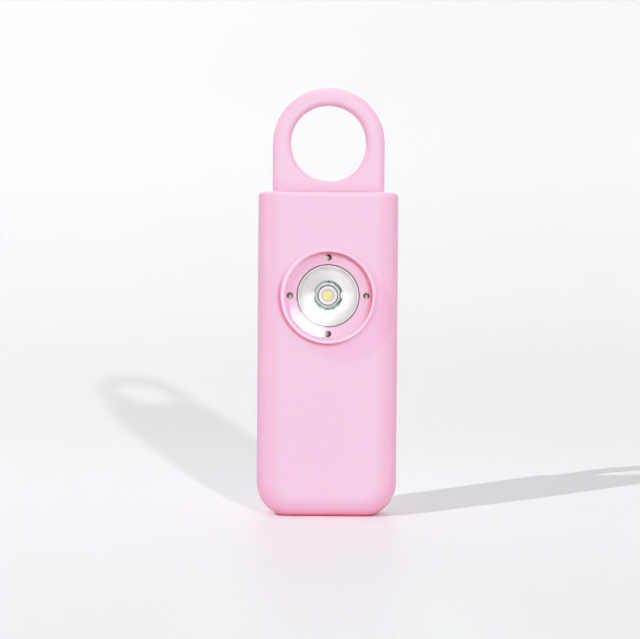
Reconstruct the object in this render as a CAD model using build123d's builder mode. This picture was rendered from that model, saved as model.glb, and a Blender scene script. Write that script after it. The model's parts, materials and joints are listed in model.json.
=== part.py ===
from build123d import *
import math
import os

# Personal safety alarm. Sizes are in millimetres and angles in degrees.
# +Z is up, +X is to the right and the front faces -Y.
# The origin is on the ground, under the middle of the casing.

# Casing
case_width = 33.3
case_height = 77.25
case_depth = 16.0
case_wall = 1.8
edge_round = 5.2
foot_round = 8.4
foot_trim = 0.4
top_round = 1.3
seam_chamfer = 0.2
lip_height = 1.1
lip_thickness = 0.8
lip_gap = 0.1

# Every cut that runs out of a solid goes this far past its face
overrun = 1.0

# Pull ring with the boss that sits in the casing's mouth
ring_width = 26.55
ring_wall = 4.275
ring_centre_rise = 11.45
ring_depth = 9.1
ring_outer_round = 1.8
ring_hole_round = 1.2
ring_seat_gap = 0.15
boss_length = 20.0
boss_width = 4.6
boss_depth = 2.6
boss_gap = 0.3

# Jack pin
pin_diameter = 2.5
pin_root = 3.5
pin_length = 9.3
pin_groove_depth = 0.3
pin_groove_width = 0.4
pin_tip = 0.9
pin_cone = 0.9
pin_cone_end = 1.1
pin_press_gap = 0.02

# Lamp rim and clear cover
rim_diameter = 22.9
rim_height = 0.8
rim_round = 0.45
recess_diameter = 20.8
cover_gap = 0.2
cover_thickness = 1.2
cover_inset = 0.5
cover_chamfer = 0.2
recess_floor = 1.5
sound_hole = 1.6
sound_ring = 18.1

# Reflector and lamp
reflector_rim = 14.6
reflector_rim_wall = 0.3
reflector_gap = 0.2
reflector_drop = 0.1
reflector_wall = 0.7
reflector_throat = 7.1
reflector_bulge = 0.5
flange_diameter = 15.9
flange_thickness = 0.6
led_size = 6.2
led_sides = 8
led_height = 1.0
led_clearance = 0.1
led_lead_width = 1.35
led_lead_length = 0.9
led_lead_thickness = 0.25
dome_diameter = 5.06
phosphor_size = 1.42
phosphor_round = 0.2
phosphor_thickness = 0.3
phosphor_gap = 0.03

# Main board
board_thickness = 1.0
board_setback = 5.6
board_gap = 0.65
board_bottom = 11.5
board_top_gap = 2.45
board_screw_inset = 2.7
board_screw_drop = 2.9
board_screw_rise = 3.1

# Siren
siren_top_gap = 1.5
siren_depth_share = 0.648
siren_wall = 0.7
siren_back_share = 0.174
gasket_thickness = 0.5
gasket_width = 1.2
diaphragm_thickness = 0.2
diaphragm_setback_share = 0.326
diaphragm_gap = 0.05
seat_width = 0.8
ceramic_inset = 2.25
ceramic_thickness = 0.15
slot_width = 1.4
slot_ring = 13.6
slot_angle = 50.0
lead_diameter = 0.8
lead_notch = 1.2
lead_bend = 1.2
lead_drop = 1.3

# Coin cells and their compartment
cell_rise = 17.0
cell_siren_gap = 5.55
cell_contact_room = 1.6
cell_cap_inset = 1.2
cell_cap_rise = 0.2
cell_round = 0.3
cell_side_gap = 0.4
cell_end_gap = 0.4
tub_wall = 1.0
tub_board_gap = 0.2
door_thickness = 1.0
door_gap = 0.15
door_round = 3.0
door_margin = 0.8
door_end_margin = 3.6
door_edge_chamfer = 0.15
door_rib = 0.3
door_rib_inset = 3.0
door_rib_width = 1.0

# Battery contacts
contact_thickness = 0.25
negative_width = 4.0
negative_span_share = 0.6
negative_foot = 2.5
positive_width = 3.0
positive_foot = 2.2
positive_window_gap = 0.3
positive_reach = 1.4
positive_stand = 0.3

# Jack socket and its switch
socket_width = 7.0
socket_depth = 5.0
socket_length = 10.3
socket_drop = 0.3
socket_gap = 0.15
socket_bore_gap = 0.06
ear_width = 1.5
ear_length = 6.0
ear_thickness = 0.8
leaf_thickness = 0.25
leaf_width = 1.6
leaf_gap = 0.05
leaf_slot_gap = 0.3
leaf_setback = 0.75
leaf_knee = 0.7
leaf_length = 8.8
leaf_top_gap = 0.7
leaf_seat_gap = 0.05
bump_height = 2.0
bump_rise = 1.0
leaf_swing = 4.0
fixed_contact_width = 1.2
fixed_contact_overlap = 0.3
fixed_contact_foot = 0.8

# Case screws
case_screw_head = 3.5
case_screw_head_height = 1.3
case_screw_shank = 1.74
case_screw_length = 10.4
case_screw_sink = 1.6
case_screw_gap = 0.2
case_screw_side = 0.2
case_screw_low_inset = 0.5
case_screw_drop = 6.75
case_screw_rise = 8.0
case_post = 5.0
post_gap = 0.6

# Board screws
board_screw_head = 3.0
board_screw_head_height = 0.9
board_screw_shank = 1.4
board_screw_length = 3.6
board_screw_gap = 0.2
board_post = 3.6

# Door screws and their inserts
door_screw_head = 3.2
door_screw_shank = 1.6
door_screw_length = 5.0
door_screw_inset = 1.4
door_screw_reach = 0.1
insert_diameter = 2.8
insert_length = 3.0
insert_gap = 0.05
insert_press_gap = 0.02
insert_sink = 0.1
insert_boss = 4.4

# All screws
recess_width = 0.5
recess_length = 1.9
recess_depth = 0.5
thread_gap = 0.03
countersink_angle = 90.0

# Parts on the board's front
coil_diameter = 7.0
coil_height = 3.2
coil_flange = 0.6
coil_post = 2.8
coil_window = 5.8
coil_place_shares = (-0.46, 0.68)
winding_gap = 0.05
chip_length = 4.9
chip_width = 3.9
chip_height = 1.5
chip_leg = 0.4
chip_leg_reach = 1.0
chip_leg_pitch = 1.27
chip_leg_height = 0.6
chip_legs = 4
chip_place_shares = (0.39, 0.7)
transistor_length = 4.5
transistor_width = 2.5
transistor_height = 1.5
transistor_place_shares = (0.42, 0.47)
can_diameter = 4.0
can_height = 3.3
can_base = 4.3
can_base_height = 0.6
can_place_shares = (-0.49, 0.38)
resistor_length = 2.0
resistor_width = 1.25
resistor_height = 0.55
resistor_pitch = 2.6
resistor_count = 3
resistor_place_shares = (0.42, 0.26)

# Depths along Y that several pieces share
front_face = -case_depth / 2
back_face = case_depth / 2
back_inside = back_face - case_wall
front_wall_middle = front_face + case_wall / 2
back_wall_middle = back_face - case_wall / 2
rim_face = front_face - rim_height
cover_face = rim_face + cover_inset
floor_face = cover_face + cover_thickness
floor_back = floor_face + recess_floor
board_front = front_face + board_setback
board_back = board_front + board_thickness
siren_front = board_back + gasket_thickness
siren_depth = siren_depth_share * (back_inside - siren_front)
siren_rear = siren_front + siren_depth
diaphragm_front = siren_front + diaphragm_setback_share * siren_depth
diaphragm_rear = diaphragm_front + diaphragm_thickness
door_seat = back_face - door_thickness
cells_back = door_seat - cell_end_gap
cells_front = board_back + cell_contact_room
cell_thickness = (cells_back - cells_front) / 2
led_face = board_front - led_height
reflector_face = floor_face + reflector_drop
throat_depth = led_face - led_clearance
flange_back = floor_back + flange_thickness

# Heights and half widths that several pieces share
inside_half_width = case_width / 2 - case_wall
inside_top = case_height - case_wall
ring_base = case_height + ring_seat_gap
ring_centre_height = case_height + ring_centre_rise
ring_hole = ring_width - 2 * ring_wall
boss_bottom = case_height - boss_depth
pin_end = boss_bottom - pin_length
board_half_width = inside_half_width - board_gap
board_top = inside_top - board_top_gap
socket_top = boss_bottom - socket_drop
socket_bottom = socket_top - socket_length
# The siren and the coin cells share the height between the socket and the foot
siren_top = socket_bottom - siren_top_gap
siren_diameter = (siren_top - cell_siren_gap - cell_rise) / 2
cell_diameter = siren_diameter
cell_height = cell_rise + cell_diameter / 2
lens_height = siren_top - siren_diameter / 2
tub_inner = cell_diameter / 2 + cell_side_gap
tub_outer = tub_inner + tub_wall
door_width = 2 * (tub_inner + door_margin)
door_height = 2 * (tub_inner + door_end_margin)
cells_top = cell_height + cell_diameter / 2
tub_top = cell_height + tub_outer

# Places of the screws, as (x, z) seen from the front
case_screw_x = case_width / 2 - edge_round - case_screw_head / 2 - case_screw_side
case_screw_low_x = case_screw_x - case_screw_low_inset
case_screw_top = case_height - case_screw_drop
case_screw_places = [
    (-case_screw_x, case_screw_top),
    (case_screw_x, case_screw_top),
    (-case_screw_low_x, case_screw_rise),
    (case_screw_low_x, case_screw_rise),
]
notch_half_width = case_screw_x - case_post / 2 - post_gap
notch_bottom = case_screw_top - case_post / 2 - post_gap
board_screw_x = board_half_width - board_screw_inset
board_screw_places = [
    (side * board_screw_x, height)
    for side in (-1, 1)
    for height in (notch_bottom - board_screw_drop, board_bottom + board_screw_rise)
]
door_screw_places = [
    (side * (tub_inner - door_screw_inset), cell_height + side * (tub_inner + door_screw_reach))
    for side in (1, -1)
]
sound_hole_places = [
    (sound_ring / 2, lens_height),
    (-sound_ring / 2, lens_height),
    (0, lens_height + sound_ring / 2),
    (0, lens_height - sound_ring / 2),
]

# Room for the parts on the board's front: from its lower edge up to the reflector
parts_room = lens_height - flange_diameter / 2 - board_bottom


def on_board(shares):
    """A place on the board's front, from shares of its half width and of that room."""
    return (shares[0] * board_half_width, board_bottom + shares[1] * parts_room)


coil_x, coil_z = on_board(coil_place_shares)
chip_x, chip_z = on_board(chip_place_shares)
transistor_place = on_board(transistor_place_shares)
can_place = on_board(can_place_shares)
resistor_x, resistor_z = on_board(resistor_place_shares)

# Everything turned about the lens is drawn as (depth, radius) on this plane
lens_section = Plane(origin=(0, 0, lens_height), x_dir=(0, 1, 0), z_dir=(1, 0, 0))
lens_axis = Axis((0, 0, lens_height), (0, 1, 0))
side_view = Plane.YZ


def upright(depth):
    """The upright plane at this depth, with X to the right and Z up."""
    return Plane.XZ.offset(-depth)


def facing_back(place, depth):
    """The plane of a screw that is driven in from the back."""
    return Plane(origin=(place[0], depth, place[1]), x_dir=(1, 0, 0), z_dir=(0, 1, 0))


def pegs(places, diameter, front, back, mode=Mode.ADD):
    """Round pegs or holes along Y between two depths."""
    with BuildPart() as shape:
        with BuildSketch(upright(back)):
            with Locations(*places):
                Circle(diameter / 2)
        extrude(amount=back - front)
    add(shape.part, mode=mode)


def blocks(places, width, height, front, back, mode=Mode.ADD):
    """Rectangular blocks or pockets along Y between two depths."""
    with BuildPart() as shape:
        with BuildSketch(upright(back)):
            with Locations(*places):
                Rectangle(width, height)
        extrude(amount=back - front)
    add(shape.part, mode=mode)


def band(front, back, inner, outer, mode=Mode.ADD):
    """One rectangle of a turned section, from inner to outer radius."""
    with Locations(((front + back) / 2, (inner + outer) / 2)):
        Rectangle(back - front, outer - inner, mode=mode)


def case_outline(inset, extra_height=0, flat_foot=True, mode=Mode.ADD):
    """The casing's front view, moved inward by inset, with or without its flat foot."""
    with BuildSketch(mode=Mode.PRIVATE) as outline:
        with Locations((0, inset - foot_trim)):
            Rectangle(
                case_width - 2 * inset,
                case_height - 2 * inset + foot_trim + extra_height,
                align=(Align.CENTER, Align.MIN),
            )
        fillet(outline.vertices().group_by(Axis.Y)[0], foot_round - inset)
        if flat_foot:
            with Locations((0, inset)):
                Rectangle(
                    case_width,
                    foot_round,
                    align=(Align.CENTER, Align.MAX),
                    mode=Mode.SUBTRACT,
                )
    add(outline.sketch, mode=mode)


def casing_form(inset):
    """The casing's rounded form, moved inward by inset and cut flat on top and under the foot."""
    with BuildPart() as form:
        with BuildSketch(Plane.XZ):
            case_outline(inset, extra_height=edge_round, flat_foot=False)
        extrude(amount=case_depth / 2 - inset, both=True)
        fillet(form.faces().filter_by(Axis.Y).edges(), edge_round - inset)
        split(bisect_by=Plane.XY.offset(case_height - inset), keep=Keep.BOTTOM)
        split(bisect_by=Plane.XY.offset(inset), keep=Keep.TOP)
    return form.part


def mouth_cut():
    """The slot in the casing's top that takes the pull ring's boss."""
    with BuildPart() as slot:
        with BuildSketch(Plane.XY.offset(case_height + overrun)):
            SlotOverall(boss_length + 2 * boss_gap, boss_width + 2 * boss_gap)
        extrude(amount=-(case_wall + 2 * overrun))
    add(slot.part, mode=Mode.SUBTRACT)


def screw(head, head_height, shank, length, countersunk=False):
    """A cross-recess screw along Z, its head above the ground plane."""
    with BuildPart() as body:
        with BuildSketch():
            Circle(shank / 2)
        extrude(amount=-length)
        if countersunk:
            with BuildSketch(Plane.XY.offset(-head_height)):
                Circle(shank / 2)
            with BuildSketch():
                Circle(head / 2)
            loft()
            top = 0
        else:
            with BuildSketch():
                Circle(head / 2)
            extrude(amount=head_height)
            fillet(body.edges().group_by(Axis.Z)[-1], head_height / 3)
            top = head_height
        with BuildSketch(Plane.XY.offset(top)):
            Rectangle(recess_length, recess_width)
            Rectangle(recess_width, recess_length)
        extrude(amount=-recess_depth, mode=Mode.SUBTRACT)
        chamfer(body.edges().group_by(Axis.Z)[0], shank / 4)
    return body.part


# The hollow casing, before it is parted at Y = 0 into its two shells
with BuildPart() as hollow_case:
    add(casing_form(0))
    fillet(hollow_case.faces().sort_by(Axis.Z)[-1].edges(), top_round)
    add(casing_form(case_wall), mode=Mode.SUBTRACT)

with BuildPart() as front_shell:
    add(hollow_case.part)
    split(bisect_by=Plane.XZ, keep=Keep.TOP)
    seam = front_shell.faces().sort_by(Axis.Y)[-1]
    chamfer(seam.outer_wire().edges(), seam_chamfer)
    # Rebate that takes the rear shell's lip
    with BuildSketch(upright(overrun)):
        case_outline(case_wall - lip_thickness - lip_gap)
    extrude(amount=overrun + lip_height + lip_gap, mode=Mode.SUBTRACT)
    mouth_cut()
    # Raised rim round the lamp, and the seat behind it
    with BuildSketch(lens_section) as rim:
        band(rim_face, front_wall_middle, recess_diameter / 2 - overrun, rim_diameter / 2)
        fillet(rim.vertices().sort_by(Axis.Y)[-2:].sort_by(Axis.X)[0], rim_round)
    revolve(axis=lens_axis)
    pegs([(0, lens_height)], rim_diameter, front_wall_middle, floor_back)
    pegs([(0, lens_height)], recess_diameter, rim_face - overrun, floor_face, Mode.SUBTRACT)
    pegs(
        [(0, lens_height)],
        reflector_rim + 2 * reflector_gap,
        floor_face - overrun,
        floor_back + overrun,
        Mode.SUBTRACT,
    )
    pegs(sound_hole_places, sound_hole, floor_face - overrun, floor_back + overrun, Mode.SUBTRACT)
    # Posts for the case screws and the board screws
    pegs(case_screw_places, case_post, front_wall_middle, 0)
    pegs(
        case_screw_places,
        case_screw_shank + 2 * thread_gap,
        back_face - case_screw_sink - case_screw_length - thread_gap,
        overrun,
        Mode.SUBTRACT,
    )
    pegs(board_screw_places, board_post, front_wall_middle, board_front)
    pegs(
        board_screw_places,
        board_screw_shank + 2 * thread_gap,
        board_back - board_screw_length - thread_gap,
        board_front + overrun,
        Mode.SUBTRACT,
    )
front_shell.part.label = "front_shell"

with BuildPart() as rear_shell:
    add(hollow_case.part)
    split(bisect_by=Plane.XZ, keep=Keep.BOTTOM)
    seam = rear_shell.faces().sort_by(Axis.Y)[0]
    chamfer(seam.outer_wire().edges(), seam_chamfer)
    # Lip that centres the two shells
    with BuildSketch(upright(case_wall)):
        case_outline(case_wall - lip_thickness)
        case_outline(case_wall, mode=Mode.SUBTRACT)
    extrude(amount=case_wall + lip_height)
    mouth_cut()
    # Compartment for the coin cells
    pegs([(0, cell_height)], 2 * tub_outer, board_back + tub_board_gap, back_wall_middle)
    # Bosses for the case screws and for the door's inserts, and the siren's rib
    pegs(case_screw_places, case_post, 0, back_wall_middle)
    pegs(
        door_screw_places,
        insert_boss,
        back_face - door_screw_length - insert_sink,
        back_wall_middle,
    )
    pegs([(0, lens_height)], siren_diameter, siren_rear, back_wall_middle)
    pegs(
        [(0, lens_height)],
        siren_diameter - 2 * gasket_width,
        siren_rear - overrun,
        back_inside,
        Mode.SUBTRACT,
    )
    # Recess for the door, its opening, and the screw holes
    with BuildSketch(upright(back_face + overrun)):
        with Locations((0, cell_height)):
            RectangleRounded(
                door_width + 2 * door_gap, door_height + 2 * door_gap, door_round + door_gap
            )
    extrude(amount=door_thickness + overrun, mode=Mode.SUBTRACT)
    pegs(
        [(0, cell_height)],
        2 * tub_inner,
        board_back,
        back_face + overrun,
        Mode.SUBTRACT,
    )
    pegs(
        door_screw_places,
        insert_diameter + 2 * insert_press_gap,
        door_seat - insert_sink - insert_length,
        back_face + overrun,
        Mode.SUBTRACT,
    )
    pegs(
        door_screw_places,
        door_screw_shank + 2 * insert_gap,
        back_face - door_screw_length - insert_sink - overrun,
        door_seat,
        Mode.SUBTRACT,
    )
    pegs(
        case_screw_places,
        case_screw_shank + 2 * case_screw_gap,
        -overrun,
        back_face,
        Mode.SUBTRACT,
    )
    pegs(
        case_screw_places,
        case_screw_head + 2 * case_screw_gap,
        back_face - case_screw_sink,
        back_face + overrun,
        Mode.SUBTRACT,
    )
    # Window in the compartment's wall for the positive contact
    blocks(
        [(0, tub_top)],
        positive_width + 2 * positive_window_gap,
        2 * (tub_wall + cell_side_gap) + positive_window_gap,
        cells_back - cell_thickness + positive_window_gap,
        back_inside,
        Mode.SUBTRACT,
    )
rear_shell.part.label = "rear_shell"

# Clear cover, with the sound holes
with BuildPart() as lens_cover:
    pegs([(0, lens_height)], recess_diameter - 2 * cover_gap, cover_face, floor_face)
    chamfer(lens_cover.edges().group_by(Axis.Y)[0], cover_chamfer)
    pegs(sound_hole_places, sound_hole, cover_face - overrun, floor_face + overrun, Mode.SUBTRACT)
lens_cover.part.label = "lens_cover"

# Reflector: a bowl with a rim in the floor's hole and a flange behind the floor
rim_radius = reflector_rim / 2
bowl_radius = rim_radius - reflector_rim_wall
throat_radius = reflector_throat / 2
with BuildPart() as reflector:
    with BuildSketch(lens_section):
        for wall, mode in [(reflector_wall, Mode.ADD), (0, Mode.SUBTRACT)]:
            with BuildLine():
                SagittaArc(
                    (reflector_face, bowl_radius + wall),
                    (throat_depth, throat_radius + wall),
                    reflector_bulge,
                )
                Polyline(
                    (throat_depth, throat_radius + wall),
                    (throat_depth, 0),
                    (reflector_face, 0),
                    (reflector_face, bowl_radius + wall),
                )
            if mode == Mode.SUBTRACT:
                band(floor_back, flange_back, bowl_radius, flange_diameter / 2)
                band(reflector_face, floor_back, bowl_radius, rim_radius)
            make_face(mode=mode)
        band(reflector_face - overrun, floor_back, rim_radius, case_width / 2, Mode.SUBTRACT)
    revolve(axis=lens_axis)
reflector.part.label = "reflector"

# Lamp: an eight-sided white package, its two leads, the phosphor in its window and a clear dome
with BuildPart() as led_package:
    with BuildSketch(upright(board_front)):
        with Locations((0, lens_height)):
            RegularPolygon(led_size / 2, led_sides, major_radius=False, rotation=180 / led_sides)
    extrude(amount=led_height)
    with BuildSketch(upright(led_face)):
        with Locations((0, lens_height)):
            window = phosphor_size + 2 * phosphor_gap
            RectangleRounded(window, window, phosphor_round + phosphor_gap)
    extrude(amount=-phosphor_thickness, mode=Mode.SUBTRACT)
led_package.part.label = "led_package"

with BuildPart() as led_leads:
    lead_middle = (led_size + led_lead_length) / 2
    blocks(
        [(-lead_middle, lens_height), (lead_middle, lens_height)],
        led_lead_length,
        led_lead_width,
        board_front - led_lead_thickness,
        board_front,
    )
led_leads.part.label = "led_leads"

with BuildPart() as led_phosphor:
    with BuildSketch(upright(led_face)):
        with Locations((0, lens_height)):
            RectangleRounded(phosphor_size, phosphor_size, phosphor_round)
    extrude(amount=-phosphor_thickness)
led_phosphor.part.label = "led_phosphor"

with BuildPart() as led_dome:
    with BuildSketch(lens_section):
        with Locations((led_face, 0)):
            Circle(dome_diameter / 2)
        band(led_face - dome_diameter, led_face, 0, dome_diameter, Mode.INTERSECT)
    revolve(axis=lens_axis)
led_dome.part.label = "led_dome"

# Main board, notched for the socket and the upper screw posts
with BuildPart() as main_board:
    with BuildSketch(upright(board_back)):
        with Locations((0, board_bottom)):
            Rectangle(
                2 * board_half_width,
                board_top - board_bottom,
                align=(Align.CENTER, Align.MIN),
            )
        for side in (-1, 1):
            with Locations((side * notch_half_width, notch_bottom)):
                Rectangle(
                    case_width,
                    case_height,
                    align=(Align.MAX if side < 0 else Align.MIN, Align.MIN),
                    mode=Mode.SUBTRACT,
                )
        with Locations((0, socket_bottom - socket_gap)):
            Rectangle(
                socket_width + 2 * socket_gap,
                case_height,
                align=(Align.CENTER, Align.MIN),
                mode=Mode.SUBTRACT,
            )
        with Locations(*board_screw_places):
            Circle(board_screw_shank / 2 + board_screw_gap, mode=Mode.SUBTRACT)
        # Slots that let the siren's sound through to the front
        for corner in range(4):
            with BuildLine(mode=Mode.PRIVATE) as slot_line:
                CenterArc(
                    (0, lens_height),
                    slot_ring / 2,
                    45 + 90 * corner - slot_angle / 2,
                    slot_angle,
                )
            SlotArc(slot_line.edges()[0], slot_width, mode=Mode.SUBTRACT)
    extrude(amount=board_thickness)
main_board.part.label = "main_board"

# Siren: gasket on the board, cup behind it, brass diaphragm with its ceramic disc
siren_radius = siren_diameter / 2
diaphragm_radius = siren_radius - siren_wall - diaphragm_gap
ceramic_rear = diaphragm_rear + ceramic_thickness
ceramic_diameter = 2 * (diaphragm_radius - ceramic_inset)
lead_spread = ceramic_diameter / 4
with BuildPart() as siren_gasket:
    with BuildSketch(lens_section):
        band(board_back, siren_front, siren_radius - gasket_width, siren_radius)
    revolve(axis=lens_axis)
siren_gasket.part.label = "siren_gasket"

with BuildPart() as siren_housing:
    pegs([(0, lens_height)], siren_diameter, siren_front, siren_rear)
    pegs(
        [(0, lens_height)],
        2 * (siren_radius - siren_wall),
        siren_front - overrun,
        diaphragm_rear,
        Mode.SUBTRACT,
    )
    pegs(
        [(0, lens_height)],
        2 * (diaphragm_radius - seat_width),
        siren_front,
        siren_rear - siren_back_share * siren_depth,
        Mode.SUBTRACT,
    )
    # Notch through the lower wall for the two leads
    blocks(
        [(0, lens_height - siren_radius)],
        2 * lead_spread + lead_notch,
        siren_radius,
        diaphragm_rear,
        diaphragm_rear + ceramic_thickness + lead_diameter + lead_notch / 2,
        Mode.SUBTRACT,
    )
siren_housing.part.label = "siren_housing"

with BuildPart() as siren_diaphragm:
    pegs([(0, lens_height)], 2 * diaphragm_radius, diaphragm_front, diaphragm_rear)
siren_diaphragm.part.label = "siren_diaphragm"

with BuildPart() as siren_ceramic:
    pegs([(0, lens_height)], ceramic_diameter, diaphragm_rear, ceramic_rear)
siren_ceramic.part.label = "siren_ceramic"

# Leads: down behind the ceramic disc, out through the notch and on to the board
lead_depth = ceramic_rear + lead_diameter / 2
lead_low = lens_height - siren_radius - lead_drop
lead_pieces = []
for side in (-1, 1):
    with BuildPart() as lead:
        with BuildLine() as route:
            FilletPolyline(
                (side * lead_spread, lead_depth, lens_height - lead_spread),
                (side * lead_spread, lead_depth, lead_low),
                (side * lead_spread, board_back, lead_low),
                radius=lead_bend,
            )
        with BuildSketch(Plane(route.line @ 0, z_dir=route.line % 0)):
            Circle(lead_diameter / 2)
        sweep()
    lead_pieces.append(lead)
siren_lead_left, siren_lead_right = lead_pieces
siren_lead_left.part.label = "siren_lead_left"
siren_lead_right.part.label = "siren_lead_right"

# Boost coil: a drum core and its copper winding
coil_section = Plane(origin=(coil_x, 0, coil_z), x_dir=(0, 1, 0), z_dir=(1, 0, 0))
coil_axis = Axis((coil_x, 0, coil_z), (0, 1, 0))
with BuildPart() as boost_coil_core:
    pegs([(coil_x, coil_z)], coil_diameter, board_front - coil_height, board_front)
    with BuildSketch(coil_section):
        band(
            board_front - coil_height + coil_flange,
            board_front - coil_flange,
            coil_post / 2,
            coil_diameter,
        )
    revolve(axis=coil_axis, mode=Mode.SUBTRACT)
boost_coil_core.part.label = "boost_coil_core"

with BuildPart() as boost_coil_winding:
    with BuildSketch(coil_section):
        band(
            board_front - coil_height + coil_flange + winding_gap,
            board_front - coil_flange - winding_gap,
            coil_post / 2 + winding_gap,
            coil_window / 2,
        )
    revolve(axis=coil_axis)
boost_coil_winding.part.label = "boost_coil_winding"

# Control chip with a row of legs on each side
with BuildPart() as control_chip:
    blocks([(chip_x, chip_z)], chip_width, chip_length, board_front - chip_height, board_front)
    leg_places = [
        (
            chip_x + side * (chip_width + chip_leg_reach) / 2,
            chip_z + chip_leg_pitch * (leg - (chip_legs - 1) / 2),
        )
        for side in (-1, 1)
        for leg in range(chip_legs)
    ]
    blocks(leg_places, chip_leg_reach, chip_leg, board_front - chip_leg_height, board_front)
control_chip.part.label = "control_chip"

with BuildPart() as transistor:
    blocks(
        [transistor_place],
        transistor_length,
        transistor_width,
        board_front - transistor_height,
        board_front,
    )
    chamfer(transistor.faces().sort_by(Axis.Y)[0].edges(), transistor_height / 6)
transistor.part.label = "transistor"

with BuildPart() as capacitor:
    blocks([can_place], can_base, can_base, board_front - can_base_height, board_front)
    pegs([can_place], can_diameter, board_front - can_height, board_front)
    fillet(capacitor.edges().group_by(Axis.Y)[0], can_diameter / 16)
capacitor.part.label = "capacitor"

with BuildPart() as chip_resistors:
    blocks(
        [(resistor_x, resistor_z - resistor_pitch * row) for row in range(resistor_count)],
        resistor_length,
        resistor_width,
        board_front - resistor_height,
        board_front,
    )
chip_resistors.part.label = "chip_resistors"


def coin_cell(front):
    """A coin cell with its smaller negative cap to the front."""
    with BuildPart() as cell:
        pegs(
            [(0, cell_height)],
            cell_diameter,
            front + cell_cap_rise,
            front + cell_thickness,
        )
        fillet(cell.edges(), cell_round)
        cap = cell_diameter - 2 * cell_cap_inset
        pegs([(0, cell_height)], cap, front, front + cell_cap_rise)
    return cell


coin_cell_1 = coin_cell(cells_front)
coin_cell_1.part.label = "coin_cell_1"
coin_cell_2 = coin_cell(cells_front + cell_thickness)
coin_cell_2.part.label = "coin_cell_2"

# Negative contact: a bowed leaf from the board to the inner cell's cap
foot_depth = board_back + contact_thickness / 2
negative_span = negative_span_share * cell_diameter
with BuildPart() as negative_contact:
    with BuildSketch(side_view):
        with BuildLine():
            Line(
                (foot_depth, cell_height - negative_span / 2 - negative_foot),
                (foot_depth, cell_height - negative_span / 2),
            )
            ThreePointArc(
                (foot_depth, cell_height - negative_span / 2),
                (cells_front - contact_thickness / 2, cell_height),
                (foot_depth, cell_height + negative_span / 2),
            )
            Line(
                (foot_depth, cell_height + negative_span / 2),
                (foot_depth, cell_height + negative_span / 2 + negative_foot),
            )
        trace(line_width=contact_thickness)
    extrude(amount=negative_width / 2, both=True)
negative_contact.part.label = "negative_contact"

# Positive contact: from the board, over the compartment's wall, down on the outer cell
positive_line = tub_top + positive_stand + contact_thickness / 2
positive_bend = cells_back - cell_thickness + 2 * positive_window_gap + contact_thickness
touch_line = cells_top + contact_thickness / 2
with BuildPart() as positive_contact:
    with BuildSketch(side_view):
        with BuildLine():
            Polyline(
                (foot_depth, positive_line + positive_foot),
                (foot_depth, positive_line),
                (positive_bend, positive_line),
                (positive_bend, touch_line),
                (positive_bend + positive_reach, touch_line),
            )
        trace(line_width=contact_thickness)
    extrude(amount=positive_width / 2, both=True)
positive_contact.part.label = "positive_contact"

# Switch leaf: hangs in the socket, its bump on the jack pin near the pin's end
pin_radius = pin_diameter / 2
bore_radius = pin_radius + socket_bore_gap
leaf_top = socket_top - leaf_top_gap
leaf_bottom = leaf_top - leaf_length
bump_middle = leaf_bottom + bump_height
leaf_line = pin_radius + leaf_setback + leaf_thickness / 2
bump_line = pin_radius + leaf_gap + leaf_thickness / 2
knee_line = bump_line + leaf_knee
with BuildPart() as switch_leaf:
    with BuildSketch(Plane.XZ):
        with BuildLine():
            Polyline(
                (leaf_line, leaf_top),
                (leaf_line, bump_middle + bump_rise),
                (bump_line, bump_middle),
                (knee_line, bump_middle - bump_rise),
                (knee_line, leaf_bottom),
            )
        trace(line_width=leaf_thickness)
    extrude(amount=leaf_width / 2, both=True)
switch_leaf.part.label = "switch_leaf"

# Jack socket, with the pin's bore, the leaf's slot and two ears on the board
slot_outside = leaf_line + leaf_thickness / 2 + leaf_slot_gap
with BuildPart() as jack_socket:
    with BuildSketch(Plane.XY.offset(socket_bottom)):
        Rectangle(socket_width, socket_depth)
    extrude(amount=socket_length)
    blocks(
        [(0, (socket_bottom + socket_top) / 2)],
        socket_width + 2 * ear_width,
        ear_length,
        board_back,
        board_back + ear_thickness,
    )
    with BuildSketch(Plane.XY.offset(socket_bottom - overrun)):
        Circle(bore_radius)
    extrude(amount=socket_length + 2 * overrun, mode=Mode.SUBTRACT)
    with BuildSketch(Plane.XZ):
        with Locations((0, socket_bottom - overrun)):
            Rectangle(
                slot_outside,
                leaf_top + leaf_seat_gap - socket_bottom + overrun,
                align=(Align.MIN, Align.MIN),
            )
    extrude(amount=leaf_width / 2 + leaf_slot_gap, both=True, mode=Mode.SUBTRACT)
jack_socket.part.label = "jack_socket"

# Fixed contact: a blade under the pin's end that the leaf meets when it is let go
leaf_drop = (leaf_top - leaf_bottom) * math.tan(math.radians(leaf_swing))
blade_outside = knee_line - leaf_thickness / 2 - leaf_drop - leaf_gap
blade_foot_top = socket_bottom - socket_gap
with BuildPart() as fixed_contact:
    with BuildSketch(Plane.YZ.offset(blade_outside)):
        with Locations((0, leaf_bottom + fixed_contact_overlap)):
            Rectangle(
                fixed_contact_width,
                leaf_bottom + fixed_contact_overlap - blade_foot_top,
                align=(Align.CENTER, Align.MAX),
            )
        with Locations((board_back, blade_foot_top)):
            Rectangle(
                fixed_contact_width / 2 - board_back,
                fixed_contact_foot,
                align=(Align.MIN, Align.MAX),
            )
    extrude(amount=-contact_thickness)
fixed_contact.part.label = "fixed_contact"

# Screws: each kind is one group of separate screws, driven in from the back
with BuildPart() as case_screws:
    seat = back_face - case_screw_sink
    with Locations(*[facing_back(place, seat) for place in case_screw_places]):
        add(screw(case_screw_head, case_screw_head_height, case_screw_shank, case_screw_length))
case_screws.part.label = "case_screws"

with BuildPart() as board_screws:
    with Locations(*[facing_back(place, board_back) for place in board_screw_places]):
        add(
            screw(
                board_screw_head, board_screw_head_height, board_screw_shank, board_screw_length
            )
        )
board_screws.part.label = "board_screws"

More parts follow.
